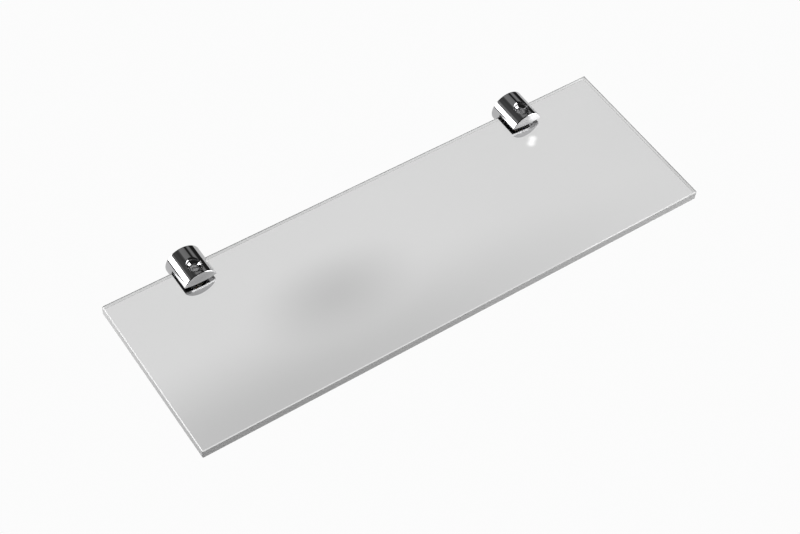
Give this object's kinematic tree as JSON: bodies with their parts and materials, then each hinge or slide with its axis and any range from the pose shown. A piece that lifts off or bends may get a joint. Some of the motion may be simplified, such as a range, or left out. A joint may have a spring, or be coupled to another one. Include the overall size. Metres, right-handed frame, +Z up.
{
  "type": "glass wall shelf",
  "caption": "Rectangular clear glass wall shelf held at its back edge by short round chrome clamp brackets with clamp screws.",
  "frame": {"origin": "on the wall plane, midway between the two wall screw holes, at the height of the glass's middle", "axes": "+X along the shelf to the right as seen from the room, +Y into the wall, +Z up"},
  "size_m": [0.4, 0.139, 0.026],
  "materials": {
    "glass": "clear float glass with ground and polished edges",
    "chrome": "bright chrome plating",
    "nylon": "natural nylon",
    "pad_rubber": "translucent soft PVC",
    "zinc": "turned and zinc plated",
    "black_steel": "black oxide"
  },
  "bodies": {
    "wall_side": {"left_clamp_body": "chrome", "right_clamp_body": "chrome", "left_lower_pad": "pad_rubber", "right_lower_pad": "pad_rubber", "left_wall_disc": "zinc", "right_wall_disc": "zinc"},
    "glass": {"glass_shelf": "glass"},
    "left_pad": {"left_pressure_pad": "nylon"},
    "right_pad": {"right_pressure_pad": "nylon"},
    "left_screw": {"left_clamp_screw": "chrome"},
    "right_screw": {"right_clamp_screw": "chrome"},
    "left_grub": {"left_grub_screw": "black_steel"},
    "right_grub": {"right_grub_screw": "black_steel"}
  },
  "joints": [
    {"name": "glass_slide", "type": "slide", "parent": "wall_side", "child": "glass", "axis": [0, -1, 0], "range_m": [0, 0.02]},
    {"name": "left_pad_lift", "type": "slide", "parent": "wall_side", "child": "left_pad", "axis": [0, 0, 1], "range_m": [0, 0.0015]},
    {"name": "left_screw_turn", "type": "hinge", "parent": "left_pad", "child": "left_screw", "pos_m": [-0.135, -0.0167, 0.009], "axis": [0, 0, 1], "range_deg": [0, 540]},
    {"name": "left_grub_turn", "type": "hinge", "parent": "wall_side", "child": "left_grub", "pos_m": [-0.135, -0.003, -0.011], "axis": [0, 0, -1], "range_deg": [0, 360]},
    {"name": "right_pad_lift", "type": "slide", "parent": "wall_side", "child": "right_pad", "axis": [0, 0, 1], "range_m": [0, 0.0015]},
    {"name": "right_screw_turn", "type": "hinge", "parent": "right_pad", "child": "right_screw", "pos_m": [0.135, -0.0167, 0.009], "axis": [0, 0, 1], "range_deg": [0, 540]},
    {"name": "right_grub_turn", "type": "hinge", "parent": "wall_side", "child": "right_grub", "pos_m": [0.135, -0.003, -0.011], "axis": [0, 0, -1], "range_deg": [0, 360]}
  ],
  "couplings": [
    {"joint": "left_screw_turn", "follows": "left_pad_lift", "rad_per_m": 6283.2},
    {"joint": "right_screw_turn", "follows": "right_pad_lift", "rad_per_m": 6283.2}
  ]
}
